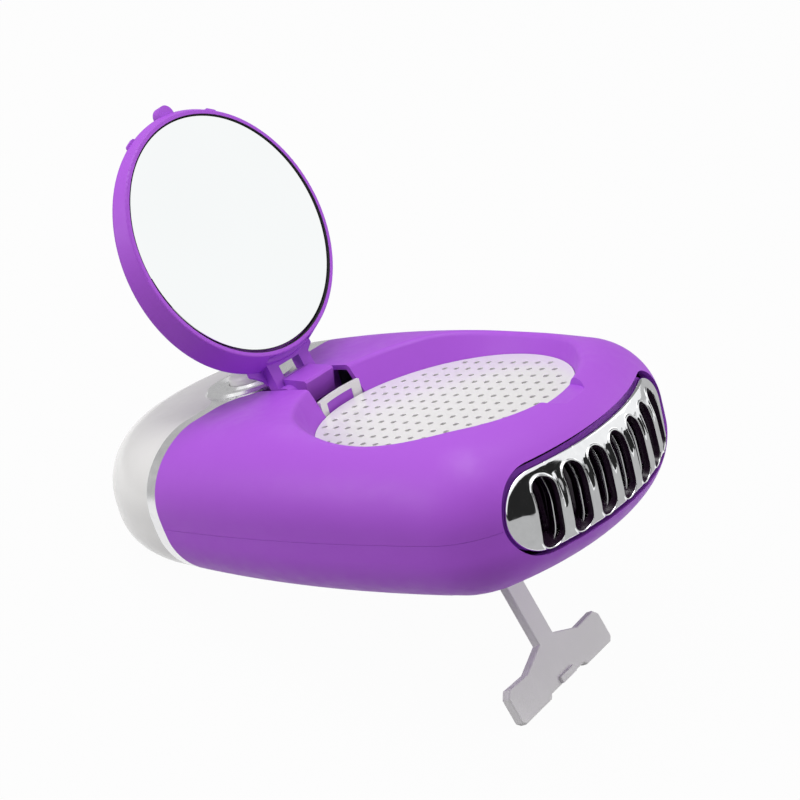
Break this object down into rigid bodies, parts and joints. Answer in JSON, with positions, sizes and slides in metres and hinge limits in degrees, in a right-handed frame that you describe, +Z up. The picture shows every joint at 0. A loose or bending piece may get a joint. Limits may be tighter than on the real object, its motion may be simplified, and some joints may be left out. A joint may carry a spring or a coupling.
{
  "type": "eyelash extension fan",
  "caption": "Small hand-held fan that dries lash glue: round perforated intake under a flip-up mirror lid, slotted chrome outlet, push button and fold-out stand.",
  "frame": {"origin": "middle of the whole object's footprint box, on the surface it stands on", "axes": "+X forward to the outlet grille and the stand's foot, +Y to the object's left, +Z up; the body stands nose up by about 23.8 degrees"},
  "size_m": [0.1058, 0.0672, 0.0809],
  "materials": {
    "purple_plastic": "satin pearl",
    "white_plastic": "glossy",
    "chrome_plate": "polished",
    "mirror_face": "polished",
    "stand_plastic": "satin",
    "black_plastic": "satin",
    "white_nylon": "matte",
    "foam": "matte",
    "steel": "plain",
    "bronze": "sintered",
    "board_green": "satin",
    "cell_wrap": "glossy"
  },
  "bodies": {
    "casing": {"upper_shell": "purple_plastic", "lower_shell": "purple_plastic", "rear_cap": "white_plastic", "chrome_trim": "chrome_plate", "tact_switch": "black_plastic", "circuit_board": "board_green", "board_chips": "black_plastic", "board_screws": "steel", "usb_socket": "steel", "battery": "cell_wrap", "battery_tape": "foam", "intake_plate": "white_plastic", "intake_tray": "white_plastic", "catch_pad": "purple_plastic", "lid_pin": "steel", "outlet_grille": "chrome_plate", "outlet_duct": "black_plastic", "blower_housing": "black_plastic", "blower_cover": "black_plastic", "blower_screws": "steel", "motor_can": "steel", "shaft_bush": "bronze", "stand_pin": "steel", "case_screws": "steel"},
    "lid": {"lid_frame": "purple_plastic", "mirror_glass": "mirror_face", "mirror_pad": "foam"},
    "stand": {"stand_leg": "stand_plastic"},
    "button": {"power_button": "white_plastic", "switch_plunger": "white_nylon"},
    "rotor": {"impeller": "white_nylon", "motor_shaft": "steel"}
  },
  "joints": [
    {"name": "lid_hinge", "type": "hinge", "parent": "casing", "child": "lid", "pos_m": [-0.01524, 0, 0.03616], "axis": [0, 1, 0], "range_deg": [0, 105.9]},
    {"name": "stand_hinge", "type": "hinge", "parent": "casing", "child": "stand", "pos_m": [0.02283, 0, 0.02644], "axis": [0, 1, 0], "range_deg": [0, 109.44]},
    {"name": "button_press", "type": "slide", "parent": "casing", "child": "button", "axis": [0.4564, 0, -0.8898], "range_m": [0, 0.0005], "stiffness_N_per_m": 400, "springref_m": -0.0005},
    {"name": "impeller_spin", "type": "hinge", "parent": "casing", "child": "rotor", "pos_m": [0.01803, 0, 0.03853], "axis": [-0.4039, 0, 0.9148], "continuous": true}
  ]
}
